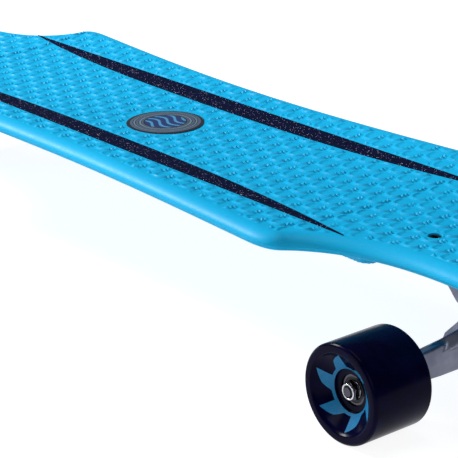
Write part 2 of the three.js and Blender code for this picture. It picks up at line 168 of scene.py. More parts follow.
def rounded(profile, steps=4):
    """A closed profile whose corners may carry a third number, the length that rounds them."""
    points = []
    for i, corner in enumerate(profile):
        here = np.array(corner[:2], float)
        if len(corner) == 2:
            points.append(here)
            continue
        back = np.array(profile[i - 1][:2], float) - here
        ahead = np.array(profile[(i + 1) % len(profile)][:2], float) - here
        reach = min(corner[2], 0.49 * np.linalg.norm(back), 0.49 * np.linalg.norm(ahead))
        start = here + back / np.linalg.norm(back) * reach
        end = here + ahead / np.linalg.norm(ahead) * reach
        for t in np.linspace(0, 1, steps + 1):
            points.append((1 - t) ** 2 * start + 2 * t * (1 - t) * here + t**2 * end)
    return [tuple(p) for p in points] + [tuple(points[0])]


def ring_solid(rings, axes):
    """A solid from rings of (radius, height) round an axis. Either number may vary with the angle."""
    origin, along, right, up = (np.array(v, float) for v in axes)
    rows = []
    for radius, height in rings:
        r = np.broadcast_to(radius, ANGLES.shape)
        h = np.broadcast_to(height, ANGLES.shape)
        around = np.outer(r * np.cos(ANGLES), right) + np.outer(r * np.sin(ANGLES), up)
        rows.append(origin + np.outer(h, along) + around)
    return np.concatenate(rows), grid_faces(len(rings), SEGMENTS, wrap=True)


def hex_radius(across_flats):
    """Distance from a hexagon's middle to its edge, at each angle."""
    turn = (ANGLES + TAU / 12) % (TAU / 6) - TAU / 12
    return across_flats / 2 / np.cos(turn)


def nut_rings(across_flats, bore, low, high, collar=0.0):
    """A chamfered hexagon nut, with a rounded locking collar on top when collar is its height."""
    flat = across_flats / 2
    corner = hex_radius(across_flats)
    chamfer = (corner - flat) * 0.58 + 0.25
    rings = [(bore, low), (flat * 0.95, low), (corner, low + chamfer), (corner, high - chamfer)]
    rings += [(flat * 0.95, high)]
    if collar:
        wall = flat * 0.86
        rings += [(wall, high), (wall, high + collar * 0.5)]
        rings += [(wall - 0.5, high + collar * 0.85), (wall - 1.3, high + collar)]
        rings += [(bore + 0.4, high + collar), (bore, high + collar * 0.9)]
    rings += [(bore, high), (bore, low)]
    return rings


def thread_rings(radius, start, end, pitch=1.1, depth=0.35):
    """Open rings of a screw thread between two heights."""
    rings = []
    height = start
    step = math.copysign(pitch, end - start)
    while abs(end - height) > pitch:
        rings += [(radius - depth, height), (radius, height + step * 0.4)]
        rings += [(radius, height + step * 0.6), (radius - depth, height + step)]
        height += step
    return rings


# ---- Material helpers ----------------------------------------------------------------------------
class Finish:
    """A material with a Principled shader and object coordinates, to which detail is added."""

    def __init__(self, name, color, roughness, metallic=0.0, coat=0.0, specular=0.5):
        self.material = bpy.data.materials.new(name)
        self.material.use_nodes = True
        self.tree = self.material.node_tree
        self.shader = self.tree.nodes["Principled BSDF"]
        self.shader.inputs["Base Color"].default_value = (*color, 1)
        self.shader.inputs["Roughness"].default_value = roughness
        self.shader.inputs["Metallic"].default_value = metallic
        self.shader.inputs["Coat Weight"].default_value = coat
        self.shader.inputs["Coat Roughness"].default_value = 0.06
        self.shader.inputs["Specular IOR Level"].default_value = specular
        self.place = self.node("ShaderNodeTexCoord").outputs["Object"]

    def node(self, kind, **settings):
        made = self.tree.nodes.new(kind)
        for key, value in settings.items():
            setattr(made, key, value)
        return made

    def link(self, source, target):
        self.tree.links.new(source, target)

    def stretched(self, scale):
        mapping = self.node("ShaderNodeMapping")
        mapping.inputs["Scale"].default_value = scale
        self.link(self.place, mapping.inputs["Vector"])
        return mapping.outputs["Vector"]

    def noise(self, scale, detail=2.0, place=None):
        noise = self.node("ShaderNodeTexNoise")
        noise.inputs["Scale"].default_value = scale
        noise.inputs["Detail"].default_value = detail
        self.link(place or self.place, noise.inputs["Vector"])
        return noise.outputs["Fac"]

    def ramp(self, value, stops, interpolation="LINEAR"):
        ramp = self.node("ShaderNodeValToRGB")
        ramp.color_ramp.interpolation = interpolation
        elements = ramp.color_ramp.elements
        while len(elements) < len(stops):
            elements.new(0.5)
        for element, (position, color) in zip(elements, stops):
            element.position = position
            element.color = (*color, 1)
        self.link(value, ramp.inputs["Fac"])
        return ramp.outputs["Color"]

    def math(self, operation, first, second=0.0):
        made = self.node("ShaderNodeMath", operation=operation)
        for socket, value in zip(made.inputs, (first, second)):
            if isinstance(value, (int, float)):
                socket.default_value = value
            else:
                self.link(value, socket)
        return made.outputs["Value"]

    def spread(self, value, low, high, socket):
        """Sets one of the shader's numbers to run from low to high with a texture."""
        span = self.node("ShaderNodeMapRange")
        span.inputs["To Min"].default_value = low
        span.inputs["To Max"].default_value = high
        self.link(value, span.inputs["Value"])
        self.link(span.outputs["Result"], self.shader.inputs[socket])

    def bump(self, height, distance, strength=1.0):
        bump = self.node("ShaderNodeBump")
        bump.inputs["Distance"].default_value = distance
        bump.inputs["Strength"].default_value = strength
        self.link(height, bump.inputs["Height"])
        self.link(bump.outputs["Normal"], self.shader.inputs["Normal"])

    def radius(self):
        """Distance from the middle of the deck, in metres, seen from above."""
        parts = self.node("ShaderNodeSeparateXYZ")
        self.link(self.place, parts.inputs["Vector"])
        x, y = parts.outputs["X"], parts.outputs["Y"]
        squares = self.math("ADD", self.math("MULTIPLY", x, x), self.math("MULTIPLY", y, y))
        return x, y, self.math("SQRT", squares)


# ---- Materials -----------------------------------------------------------------------------------
def blue_plastic():
    """Injection-moulded polypropylene: faint flow marks and a fine satin grain."""
    finish = Finish("blue_plastic", (0.003, 0.38, 0.69), 0.45, specular=0.12)
    flow = finish.noise(14, 3, finish.stretched((0.35, 1, 1)))
    shades = [(0.3, (0.002, 0.355, 0.645)), (0.7, (0.005, 0.40, 0.715))]
    finish.link(finish.ramp(flow, shades), finish.shader.inputs["Base Color"])
    finish.spread(finish.noise(260, 3), 0.38, 0.54, "Roughness")
    finish.bump(finish.noise(1700, 3), 0.00006, 0.35)
    finish.shader.inputs["Subsurface Weight"].default_value = 0.06
    finish.shader.inputs["Subsurface Radius"].default_value = (0.001, 0.002, 0.004)
    return finish.material


def glitter_grip():
    """Dark grip sheet with grit and scattered bright flecks."""
    fleck_hues = [(0.0, (0.42, 0.26, 0.45)), (0.5, (0.3, 0.3, 0.6)), (1.0, (0.7, 0.7, 0.8))]
    grit_tones = [(0.35, (0.001, 0.003, 0.016)), (0.7, (0.004, 0.007, 0.036))]
    finish = Finish("glitter_grip", (0.003, 0.004, 0.022), 0.62, specular=0.03)
    flecks = finish.node("ShaderNodeTexVoronoi")
    flecks.inputs["Scale"].default_value = 1500
    finish.link(finish.place, flecks.inputs["Vector"])
    parts = finish.node("ShaderNodeSeparateColor")
    finish.link(flecks.outputs["Color"], parts.inputs["Color"])
    bright = finish.math("GREATER_THAN", parts.outputs["Red"], 0.955)
    small = finish.math("LESS_THAN", flecks.outputs["Distance"], 0.45)
    shown = finish.math("MULTIPLY", bright, small)
    hues = finish.ramp(parts.outputs["Green"], fleck_hues)
    grit = finish.ramp(finish.noise(420, 4), grit_tones)
    mix = finish.node("ShaderNodeMix", data_type="RGBA")
    finish.link(shown, mix.inputs["Factor"])
    finish.link(grit, mix.inputs["A"])
    finish.link(hues, mix.inputs["B"])
    finish.link(mix.outputs["Result"], finish.shader.inputs["Base Color"])
    finish.spread(shown, 0.66, 0.2, "Roughness")
    finish.bump(finish.noise(1500, 3), 0.0002, 0.7)
    return finish.material


def badge_print():
    """A printed disc under a clear gel dome: grey rings round a blue roundel of plain crescents."""
    finish = Finish("badge_print", (0.2, 0.25, 0.3), 0.3, coat=1.0)
    x, y, radius = finish.radius()
    dark = (0.008, 0.014, 0.035)
    grey = (0.078, 0.13, 0.195)
    pale = (0.155, 0.24, 0.34)
    stops = [(0.0, dark), (0.535, dark), (0.56, grey), (0.60, dark), (0.62, pale), (0.67, dark)]
    stops += [(0.69, grey), (0.75, dark), (0.77, pale), (0.81, dark), (0.83, grey), (0.9, dark)]
    share = finish.math("DIVIDE", radius, BADGE_RADIUS * MM)
    rings = finish.ramp(share, stops, "CONSTANT")
    middle = finish.ramp(share, [(0.0, (1, 1, 1)), (0.52, (0, 0, 0))], "CONSTANT")
    wave = finish.math("SINE", finish.math("MULTIPLY", x, 190))
    shifted = finish.math("ADD", y, finish.math("MULTIPLY", wave, 0.0035))
    bands = finish.math("SINE", finish.math("MULTIPLY", shifted, 820))
    roundel = finish.ramp(bands, [(0.0, (0.006, 0.035, 0.17)), (0.5, (0.07, 0.33, 0.6))], "CONSTANT")
    mix = finish.node("ShaderNodeMix", data_type="RGBA")
    finish.link(middle, mix.inputs["Factor"])
    finish.link(rings, mix.inputs["A"])
    finish.link(roundel, mix.inputs["B"])
    finish.link(mix.outputs["Result"], finish.shader.inputs["Base Color"])
    finish.spread(finish.noise(300, 2), 0.24, 0.34, "Roughness")
    return finish.material


def urethane():
    """Glossy cast urethane, almost black, with a soft wear haze on the tread."""
    finish = Finish("urethane", (0.001, 0.001, 0.014), 0.22, specular=0.035)
    haze = finish.noise(90, 4)
    tones = [(0.35, (0.0005, 0.0005, 0.010)), (0.75, (0.0015, 0.001, 0.02))]
    finish.link(finish.ramp(haze, tones), finish.shader.inputs["Base Color"])
    finish.spread(finish.noise(180, 4), 0.16, 0.28, "Roughness")
    finish.bump(finish.noise(600, 2), 0.00002, 0.2)
    return finish.material


def wheel_print():
    """Flat blue ink on the face of a wheel."""
    finish = Finish("wheel_print", (0.002, 0.13, 0.30), 0.42, specular=0.2)
    tones = [(0.3, (0.001, 0.115, 0.27)), (0.7, (0.003, 0.15, 0.33))]
    finish.link(finish.ramp(finish.noise(700, 3), tones), finish.shader.inputs["Base Color"])
    finish.spread(finish.noise(500, 2), 0.36, 0.5, "Roughness")
    return finish.material


def cast_metal():
    """Tumbled and polished cast aluminium with a faint orange peel."""
    finish = Finish("cast_metal", (0.15, 0.16, 0.22), 0.34, metallic=1.0)
    tones = [(0.3, (0.11, 0.12, 0.17)), (0.7, (0.19, 0.20, 0.26))]
    finish.link(finish.ramp(finish.noise(60, 4), tones), finish.shader.inputs["Base Color"])
    finish.spread(finish.noise(350, 4), 0.3, 0.42, "Roughness")
    finish.bump(finish.noise(500, 3), 0.00004, 0.25)
    return finish.material


def steel(name, color, low, high):
    """Machined steel with fine turning marks."""
    finish = Finish(name, color, low, metallic=1.0)
    dark = tuple(c * 0.8 for c in color)
    finish.link(finish.ramp(finish.noise(300, 3), [(0.3, dark), (0.7, color)]),
                finish.shader.inputs["Base Color"])
    marks = finish.noise(900, 3, finish.stretched((1, 4, 1)))
    finish.spread(marks, low, high, "Roughness")
    finish.bump(marks, 0.00003, 0.35)
    return finish.material


def soft_black(name, color, low, high, grain):
    """Moulded rubber or nylon with a fine matt grain."""
    finish = Finish(name, color, low, specular=0.4)
    pale = tuple(c * 1.6 + 0.002 for c in color)
    finish.link(finish.ramp(finish.noise(140, 3), [(0.35, color), (0.8, pale)]),
                finish.shader.inputs["Base Color"])
    finish.spread(finish.noise(260, 3), low, high, "Roughness")
    finish.bump(finish.noise(grain, 3), 0.00008, 0.5)
    return finish.material


BLUE = blue_plastic()
GRIP = glitter_grip()
BADGE = badge_print()
URETHANE = urethane()
PRINT = wheel_print()
CAST = cast_metal()
STEEL = steel("bright_steel", (0.62, 0.63, 0.65), 0.14, 0.3)
ZINC = steel("zinc_steel", (0.45, 0.46, 0.49), 0.25, 0.42)
DARK_STEEL = steel("dark_steel", (0.07, 0.07, 0.09), 0.16, 0.3)
BLACK_STEEL = steel("black_steel", (0.02, 0.02, 0.028), 0.3, 0.5)
BUSHING = soft_black("bushing_urethane", (0.006, 0.006, 0.012), 0.3, 0.5, 900)
NYLON = soft_black("black_nylon", (0.01, 0.01, 0.012), 0.45, 0.65, 1400)


# ---- Deck ----------------------------------------------------------------------------------------
def deck_height(y):
    return DECK_TOP + CONCAVE * y**2


def side_half_width(x):
    t = x / 300
    return WAIST_HALF + 22.8 * t**2 - 6.5 * t**4


def bezier(points, steps):
    """A quadratic or cubic Bezier curve as an array of points, without its first."""
    t = np.linspace(0, 1, steps + 1)[1:, None]
    degree = len(points) - 1
    terms = [math.comb(degree, i) * t**i * (1 - t) ** (degree - i) for i in range(degree + 1)]
    return sum(term * np.array(point, float) for term, point in zip(terms, points))


def half_outline():
    """The outline on the +Y side from tail to nose, evenly spaced along the board."""
    bend = CORNER_X - 24
    side = np.linspace(0, bend, 200)
    turn_end = (CORNER_X + 3.5, CORNER_HALF)
    corner = [(bend, side_half_width(bend)), (CORNER_X - 1.5, side_half_width(CORNER_X)), turn_end]
    flank = [turn_end, (CORNER_X + 12, 92), (CORNER_X + 35, NECK_HALF + 1)]
    flank += [(CORNER_X + 104, NECK_HALF)]
    turn = np.linspace(TAU / 4, 0, 160)
    nose_x = DECK_HALF_LENGTH - NOSE_LENGTH + NOSE_LENGTH * np.cos(turn)
    quarter = np.concatenate([
        np.column_stack([side, side_half_width(side)]), bezier(corner, 60), bezier(flank, 240),
        np.column_stack([nose_x, NECK_HALF * np.sin(turn)]),
    ])
    whole = np.concatenate([quarter[:0:-1] * [-1, 1], quarter])
    step = np.diff(whole, axis=0)
    cost = np.maximum(np.abs(step[:, 0]) / 1.1, np.hypot(step[:, 0], step[:, 1]) / 2.2)
    total = np.concatenate([[0], np.cumsum(cost)])
    even = np.linspace(0, total[-1], int(total[-1]))
    return np.column_stack([np.interp(even, total, whole[:, 0]), np.interp(even, total, whole[:, 1])])


def inward(outline):
    """Unit normals of the +Y outline, pointing into the deck and eased round the corners."""
    tangent = np.gradient(outline, axis=0)
    tangent /= np.linalg.norm(tangent, axis=1)[:, None]
    reach = 8
    padded = np.pad(tangent, ((reach, reach), (0, 0)), mode="edge")
    tangent = sum(padded[i:i + len(outline)] for i in range(2 * reach + 1))
    tangent /= np.linalg.norm(tangent, axis=1)[:, None]
    tangent[0] = (0, 1)
    tangent[-1] = (0, -1)
    return np.column_stack([tangent[:, 1], -tangent[:, 0]])


def smooth(value, low, high):
    t = np.clip((value - low) / (high - low), 0, 1)
    return t * t * (3 - 2 * t)


def bolt_places():
    places = []
    for end in (1, -1):
        for dx in (-BOLT_ROWS / 2, BOLT_ROWS / 2):
            for y in (-BOLT_COLUMNS / 2, BOLT_COLUMNS / 2):
                places.append((end * (PATTERN_X + dx), y))
    return places


def stripe_inner(x):
    """Distance from the centre line to a stripe's inner edge; its outer edge is straight."""
    share = np.clip(np.abs(x) / STRIPE_HALF_LENGTH, 0, 1)
    return STRIPE_OUTER - STRIPE_WIDTH * (1 - share**2.6)


def scallops(x, y):
    """Height of the moulded grip: rows of U shapes with a low smooth side and a high beaded side."""
    column = np.round((x - SCALLOP_ORIGIN) / SCALLOP_COLUMN)
    across = x - SCALLOP_ORIGIN - column * SCALLOP_COLUMN
    shift = np.where(column % 2 == 0, *SCALLOP_SHIFTS)
    up = np.mod(y - shift + 1.5, SCALLOP_ROW)
    centre = 8.2
    bowl_depth = 6.7
    bowl = np.hypot(across / SCALLOP_HALF, (up - centre) / bowl_depth)
    distance = np.where(up < centre, (bowl - 1) * 6.6, np.abs(across) - SCALLOP_HALF)
    smooth_side = across < 0
    width = np.where(smooth_side, 1.15 + 0.45 * smooth(-up, -9, -3), 1.1)
    ridge = np.exp(-((distance / width) ** 2))
    beads = 0.5 - 0.5 * np.cos(TAU * (up - 3.6) / BEAD_SPACING)
    beaded = np.where(smooth_side | (up < 4.4), 1.0, 1.2 * beads**0.7)
    ends = 1 - smooth(up, 11.6, 14.2)
    lopsided = 0.9 + 0.35 * np.clip(across / SCALLOP_HALF, -1, 1)
    return SCALLOP_HEIGHT * ridge * beaded * ends * lopsided


def scallop_zone(x, y, edge):
    """1 where the scallops show and 0 on the smooth borders of the rim, stripes, badge and holes."""
    shown = smooth(edge, RIM_INSET + 0.2, RIM_INSET + 1.8)
    outside = np.maximum(stripe_inner(x) - np.abs(y), np.abs(y) - STRIPE_OUTER)
    near_stripe = np.where(np.abs(x) < STRIPE_HALF_LENGTH + 4, outside, 9.0)
    shown = shown * smooth(near_stripe, 1.6, 3.4)
    shown = shown * smooth(np.hypot(x, y), BADGE_RADIUS + 2.2, BADGE_RADIUS + 4.4)
    for hole_x, hole_y in bolt_places():
        shown = shown * smooth(np.hypot(x - hole_x, y - hole_y), 7.0, 9.0)
    return shown


def edge_distance(points, outline):
    """Distance from each point to the deck's outline, mirrored to the +Y side."""
    found = np.empty(len(points))
    mirrored = np.column_stack([points[:, 0], np.abs(points[:, 1])])
    for start in range(0, len(points), 4000):
        block = mirrored[start:start + 4000]
        gaps = block[:, None, :] - outline[None, ::2, :]
        found[start:start + 4000] = np.sqrt((gaps**2).sum(-1)).min(1)
    return found


def top_height(x, y, edge):
    height = deck_height(y) + scallops(x, y) * scallop_zone(x, y, edge)
    for hole_x, hole_y in bolt_places():
        height = np.where(np.hypot(x - hole_x, y - hole_y) < HOLE_CUT, DECK_TOP - 4, height)
    return height


def box_distance(x, y, half, corner):
    """Signed distance to a rounded rectangle, negative inside."""
    dx = np.abs(x) - half[0] + corner
    dy = np.abs(y) - half[1] + corner
    return np.hypot(np.maximum(dx, 0), np.maximum(dy, 0)) + np.minimum(np.maximum(dx, dy), 0) - corner


def bottom_height(x, y):
    """Underside: a stiffening panel with shallow ribbed pockets, and a flat pad over each truck."""
    shell = deck_height(y) - DECK_THICKNESS
    panel = box_distance(x, y, BELLY_HALF, 12)
    pad = box_distance(np.abs(x) - PATTERN_X, y, PAD_HALF, 4)
    ribs_x = np.abs(np.mod(x, 50.0) - 25)
    ribs_y = np.abs(np.mod(np.abs(y), 28.0) - 14)
    pocket = smooth(23.5 - ribs_x, 0, 2.5) * smooth(12.5 - ribs_y, 0, 2.5) * smooth(-panel, 5, 8)
    panel_face = BELLY_BOTTOM + 2.2 * pocket
    height = shell + (panel_face - shell) * (1 - smooth(panel, -3.2, 0))
    return np.minimum(height, shell + (PAD_BOTTOM - shell) * (1 - smooth(pad, -1.5, 0)))


def rim_section():
    """Points of the rim as (inset, drop below the top) down to the parting line and the bottom."""
    bend = np.linspace(0, TAU / 4, 13)
    points = []
    for angle in bend:
        inset = RIM_INSET * (1 - math.sin(angle) ** RIM_POWER)
        drop = RIM_DROP * (1 - max(math.cos(angle), 0) ** RIM_POWER)
        points.append((inset, drop))
    points += [(0.1, 8.7), (0.45, 9.0), (0.5, 9.2), (0.4, 9.5)]
    points += [(0.7, 10.3), (1.1, 10.8), (1.8, 11.1), (2.8, DECK_THICKNESS)]
    return points


def deck_shape():
    outline = half_outline()
    normal = inward(outline)
    rows = len(outline)
    top_columns = 210
    bottom_columns = 90

    def side_points(inset):
        points = outline + normal * inset
        points[:, 1] = np.maximum(points[:, 1], 0)
        return points

    def sheet(inset, columns, height):
        edge_points = side_points(inset)
        share = np.linspace(-1, 1, columns)
        x = np.repeat(edge_points[:, :1], columns, axis=1)
        y = edge_points[:, 1:] * share[None, :]
        return np.stack([x, y, height(x, y)], -1)

    def top(x, y):
        flat = np.column_stack([x.ravel(), y.ravel()])
        edge = edge_distance(flat, outline).reshape(x.shape)
        return top_height(x, y, edge)

    section = rim_section()
    rim = np.empty((rows, len(section), 3))
    for i, (inset, drop) in enumerate(section):
        points = side_points(inset)
        rim[:, i, :2] = points
        rim[:, i, 2] = deck_height(points[:, 1]) - drop
    upper = sheet(section[0][0], top_columns, top)
    lower = sheet(section[-1][0], bottom_columns, bottom_height)
    right_rim = rim * [1, -1, 1]
    loop = np.concatenate([upper[:, 1:-1], rim, lower[:, -2:0:-1], right_rim[:, ::-1]], axis=1)
    return loop.reshape(-1, 3), grid_faces(rows, loop.shape[1], wrap=True)


def hole_lip(x, y):
    """A crisp lip and wall for one bolt hole."""
    surface = deck_height(y)
    foot = DECK_TOP - 5
    top = surface + 0.14
    profile = [(HOLE_RADIUS, foot), (HOLE_RADIUS, top, 0.5), (HOLE_BORDER, top, 0.4)]
    profile += [(HOLE_BORDER, foot)]
    return ring_solid(rounded(profile), vertical(x, y))


def vertical(x, y):
    return (x, y, 0), (0, 0, 1), (1, 0, 0), (0, 1, 0)


def build_deck():
    parts = [deck_shape()] + [hole_lip(x, y) for x, y in bolt_places()]
    return make_piece("deck_moulding", gather(parts), BLUE, "board", ["deck"], crease=60)


def stripe_shape(side):
    x = STRIPE_HALF_LENGTH * np.sin(np.linspace(-TAU / 4, TAU / 4, 420))
    inner = stripe_inner(x)
    share = np.array([0, 0, 0.02, 0.06, 0.2, 0.35, 0.5, 0.65, 0.8, 0.94, 0.98, 1, 1])
    lift = np.array([-0.5, 0.6, 0.82, 0.9, 0.9, 0.9, 0.9, 0.9, 0.9, 0.9, 0.82, 0.6, -0.5])
    y = inner[:, None] + (STRIPE_OUTER - inner)[:, None] * share[None, :]
    z = deck_height(y) + lift[None, :] * GRIP_THICKNESS / 0.9
    points = np.stack([np.repeat(x[:, None], len(share), axis=1), side * y, z], -1)
    return points.reshape(-1, 3), grid_faces(len(x), len(share), wrap=True)


def build_stripes():
    for side, hand in ((1, "left"), (-1, "right")):
        make_piece(f"glitter_stripe_{hand}", stripe_shape(side), GRIP, "board",
                   [f"grip_stripe_{hand}"])


def build_badge():
    foot = DECK_TOP - 0.6
    edge = DECK_TOP + 0.35
    rings = [(0, foot), (BADGE_RADIUS, foot), (BADGE_RADIUS, edge)]
    for angle in np.linspace(0.12, TAU / 4, 18):
        rings.append((BADGE_RADIUS * math.cos(angle), edge + 0.9 * math.sin(angle) ** 0.6))
    make_piece("gel_badge", ring_solid(rings, vertical(0, 0)), BADGE, "board", ["badge"])


def build_deck_bolts():
    for i, (x, y) in enumerate(bolt_places()):
        label = f"{'front' if x > 0 else 'rear'}_{i % 4 + 1}"
        socket = hex_radius(4.0)
        seat = BOLT_HEAD_TOP - 0.6
        rings = [(0, BOLT_HEAD_TOP - 2), (socket, BOLT_HEAD_TOP - 2), (socket, BOLT_HEAD_TOP - 0.2)]
        rings += [(socket + 0.25, BOLT_HEAD_TOP), (BOLT_HEAD_RADIUS - 0.5, BOLT_HEAD_TOP)]
        rings += [(BOLT_HEAD_RADIUS, seat + 0.2), (BOLT_HEAD_RADIUS, seat)]
        rings += [(BOLT_RADIUS, seat - BOLT_HEAD_RADIUS + BOLT_RADIUS), (BOLT_RADIUS, PLATE_BOTTOM)]
        rings += thread_rings(BOLT_RADIUS, PLATE_BOTTOM, BOLT_END, pitch=0.8, depth=0.25)
        rings += [(BOLT_RADIUS - 0.5, BOLT_END), (0, BOLT_END)]
        bolt = ring_solid(rings, vertical(x, y))
        make_piece(f"bolt_{label}", bolt, BLACK_STEEL, "board", [f"deck_bolt_{label}"])
        top = PLATE_BOTTOM - 0.3
        nut_axes = (x, y, top), (0, 0, -1), (1, 0, 0), (0, -1, 0)
        nut = ring_solid(nut_rings(9.5, BOLT_RADIUS + 0.1, 0, 3.8, collar=1.2), nut_axes)
        make_piece(f"nut_{label}", nut, ZINC, "board", [f"deck_nut_{label}"])


# ---- Trucks --------------------------------------------------------------------------------------
SLOPE = math.sqrt(0.5)  # the steering axis and the kingpin both stand at 45 degrees
STEER_FOOT = (-3 * SLOPE, WHEEL_RADIUS + 3 * SLOPE)


def kingpin_axes(end):
    """Axes of the kingpin of one truck, with heights read from the middle of the hanger ring."""
    x = AXLE_X + STEER_FOOT[0] + RING_S * SLOPE
    z = STEER_FOOT[1] + RING_S * SLOPE
    return (end * x, 0, z), (end * SLOPE, 0, -SLOPE), (end * SLOPE, 0, SLOPE), (0, -end, 0)


def build_kingpin(label, end):
    axes = kingpin_axes(end)
    head = BOARD_SEAT - 8
    top = RING_HALF + 25.9
    corner = hex_radius(14.5)
    rings = [(0, head - 4), (6.6, head - 4), (corner, head - 3), (corner, head), (KINGPIN_RADIUS, head)]
    rings += [(KINGPIN_RADIUS, top - 12)]
    rings += thread_rings(KINGPIN_RADIUS, top - 12, top)
    rings += [(KINGPIN_RADIUS - 0.9, top), (0, top)]
    make_piece(f"kingpin_bolt_{label}", ring_solid(rings, axes), ZINC, "board",
               [f"kingpin_{label}"])
    low = RING_HALF + 14.9
    nut = ring_solid(nut_rings(14.3, KINGPIN_RADIUS + 0.2, low, low + 6, collar=2), axes)
    make_piece(f"locking_nut_{label}", nut, STEEL, "board", [f"kingpin_nut_{label}"])


def build_washers(label, end):
    axes = kingpin_axes(end)
    bore = KINGPIN_RADIUS + 0.3
    places = {"board": (BOARD_SEAT + 0.3, 1), "road": (RING_HALF + 14.6, -1)}
    for place, (back, way) in places.items():
        profile = [(bore, 0), (13.2, 0, 1.2), (14, way * 0.5, 0.3), (14, way * 2.0, 0.3)]
        profile += [(12.9, way * 2.0, 0.2), (12.9, way * 1.4, 0.3), (bore, way * 1.4)]
        rings = [(r, back + h) for r, h in rounded(profile)]
        make_piece(f"cup_washer_{place}_{label}", ring_solid(rings, axes), STEEL, "board",
                   [f"washer_{place}_{label}"])


def build_bushings(label, end):
    """Soft rings squeezed between the board and the hanger."""
    axes = kingpin_axes(end)
    bore = KINGPIN_RADIUS + 0.4
    board_end = BOARD_SEAT + 1.9
    barrel = [(bore, board_end), (12.4, board_end, 0.8), (12.7, board_end + 5), (11.9, board_end + 7.3, 1)]
    barrel += [(12.7, board_end + 9.6), (12.6, -RING_HALF - 0.1, 0.8), (bore, -RING_HALF - 0.1)]
    road_end = RING_HALF + 12.8
    cone = [(bore, RING_HALF + 0.1), (12.4, RING_HALF + 0.1, 0.8), (12.2, RING_HALF + 5, 1)]
    cone += [(10.6, road_end, 0.8), (bore, road_end)]
    for place, profile, far in (("board", barrel, board_end), ("road", cone, road_end)):
        shape = ring_solid(rounded(profile), axes)
        piece = make_piece(f"bushing_ring_{place}_{label}", shape, BUSHING)
        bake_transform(piece)
        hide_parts(f"bushing_{place}_{label}")


def soften_casting(name, voxel, rounds):
    """Gives a CAD casting the rounded edges and fillets of a mould."""
    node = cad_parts[name]
    node.modifiers.new("weld", "WELD").merge_threshold = 1e-5
    remesh = node.modifiers.new("remesh", "REMESH")
    remesh.mode = "VOXEL"
    remesh.voxel_size = voxel * MM
    remesh.use_smooth_shade = True
    soft = node.modifiers.new("soften", "SMOOTH")
    soft.iterations = rounds
    paint(node, CAST)


def paint(node, material):
    node.data.materials.clear()
    node.data.materials.append(material)


def build_axle(label, end):
    half = WHEEL_Y + BEARING_FACE + 6.0
    origin = (end * AXLE_X, 0, WHEEL_RADIUS)
    axes = origin, (0, 1, 0), (-1, 0, 0), (0, 0, 1)
    thread = half - 9
    rings = [(0, -half), (AXLE_RADIUS - 0.8, -half)]
    rings += [(r, -h) for r, h in reversed(thread_rings(AXLE_RADIUS, thread, half - 0.4))]
    rings += thread_rings(AXLE_RADIUS, thread, half - 0.4)
    rings += [(AXLE_RADIUS - 0.8, half), (0, half)]
    make_piece(f"axle_rod_{label}", ring_solid(rings, axes), DARK_STEEL, f"truck_{label}",
               [f"axle_{label}"])


def build_truck(label, end):
    soften_casting(f"hanger_{label}", 0.9, 7)
    soften_casting(f"baseplate_{label}", 0.9, 6)
    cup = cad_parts[f"pivot_cup_{label}"]
    cup.modifiers.new("weld", "WELD").merge_threshold = 1e-5
    bevel = cup.modifiers.new("bevel", "BEVEL")
    bevel.width = 0.3 * MM
    bevel.segments = 2
    paint(cup, NYLON)
    build_kingpin(label, end)
    build_washers(label, end)
    build_bushings(label, end)
    build_axle(label, end)


# ---- Wheels --------------------------------------------------------------------------------------
DISH_INNER = 15.5  # height of the dish at the hub
DISH_OUTER = 23.5  # height of the dish where the lip begins
DISH_EDGE = 27.0


def wheel_axes(end, side):
    """Axes of one wheel seen from outside: along the axle outwards, then right, then up."""
    return (end * AXLE_X, side * WHEEL_Y, WHEEL_RADIUS), (0, side, 0), (-side, 0, 0), (0, 0, 1)


def dish_height(radius):
    share = (radius - HUB_RADIUS) / (DISH_EDGE - HUB_RADIUS)
    return DISH_INNER + (DISH_OUTER - DISH_INNER) * share


def tyre_profile():
    face = [(8.9, 5.3), (BEARING_RADIUS, 5.3), (BEARING_RADIUS, BEARING_FACE + 1)]
    face += [(HUB_RADIUS, BEARING_FACE + 1.4, 0.4), (HUB_RADIUS, DISH_INNER, 0.3)]
    face += [(DISH_EDGE, DISH_OUTER, 1.5), (28.6, WHEEL_FACE, 0.7), (33.4, WHEEL_FACE, 0.8)]
    face += [(WHEEL_RADIUS, WHEEL_FACE - 1.6, 1.0)]
    back = [(p[0], -p[1], *p[2:]) for p in reversed(face)]
    return rounded(face + back)


def sector(radii, start, end, axes, lift):
    """A patch of print on the dish between two angles given for each radius."""
    origin, along, right, up = (np.array(v, float) for v in axes)
    share = np.linspace(0, 1, 9)
    angle = start[:, None] + (end - start)[:, None] * share[None, :]
    radius = np.repeat(radii[:, None], len(share), axis=1)
    height = dish_height(radius) + lift
    around = (radius * np.cos(angle))[..., None] * right + (radius * np.sin(angle))[..., None] * up
    points = origin + height[..., None] * along + around
    return points.reshape(-1, 3), grid_faces(len(radii), len(share))


def print_shape(axes):
    """A ring round the hub and six blades, each with one radial edge and one stepped edge."""
    blades = 6
    share = np.linspace(0, 1, 31)
    radii = 16.9 + 9.8 * share
    lean = math.radians(-2) * share
    width = math.radians(40) * np.interp(share, [0, 0.1, 0.55, 1], [1, 0.88, 0.58, 0])
    parts = []
    for k in range(blades):
        start = math.radians(98) + TAU * k / blades + lean
        parts.append(sector(radii, start, start + width, axes, 0.1))
    ring = np.array([HUB_RADIUS + 0.3, 16.2, 17.1])
    for k in range(8):
        begin = np.full(3, TAU * k / 8)
        parts.append(sector(ring, begin, begin + TAU / 8, axes, 0.1))
    return gather(parts)


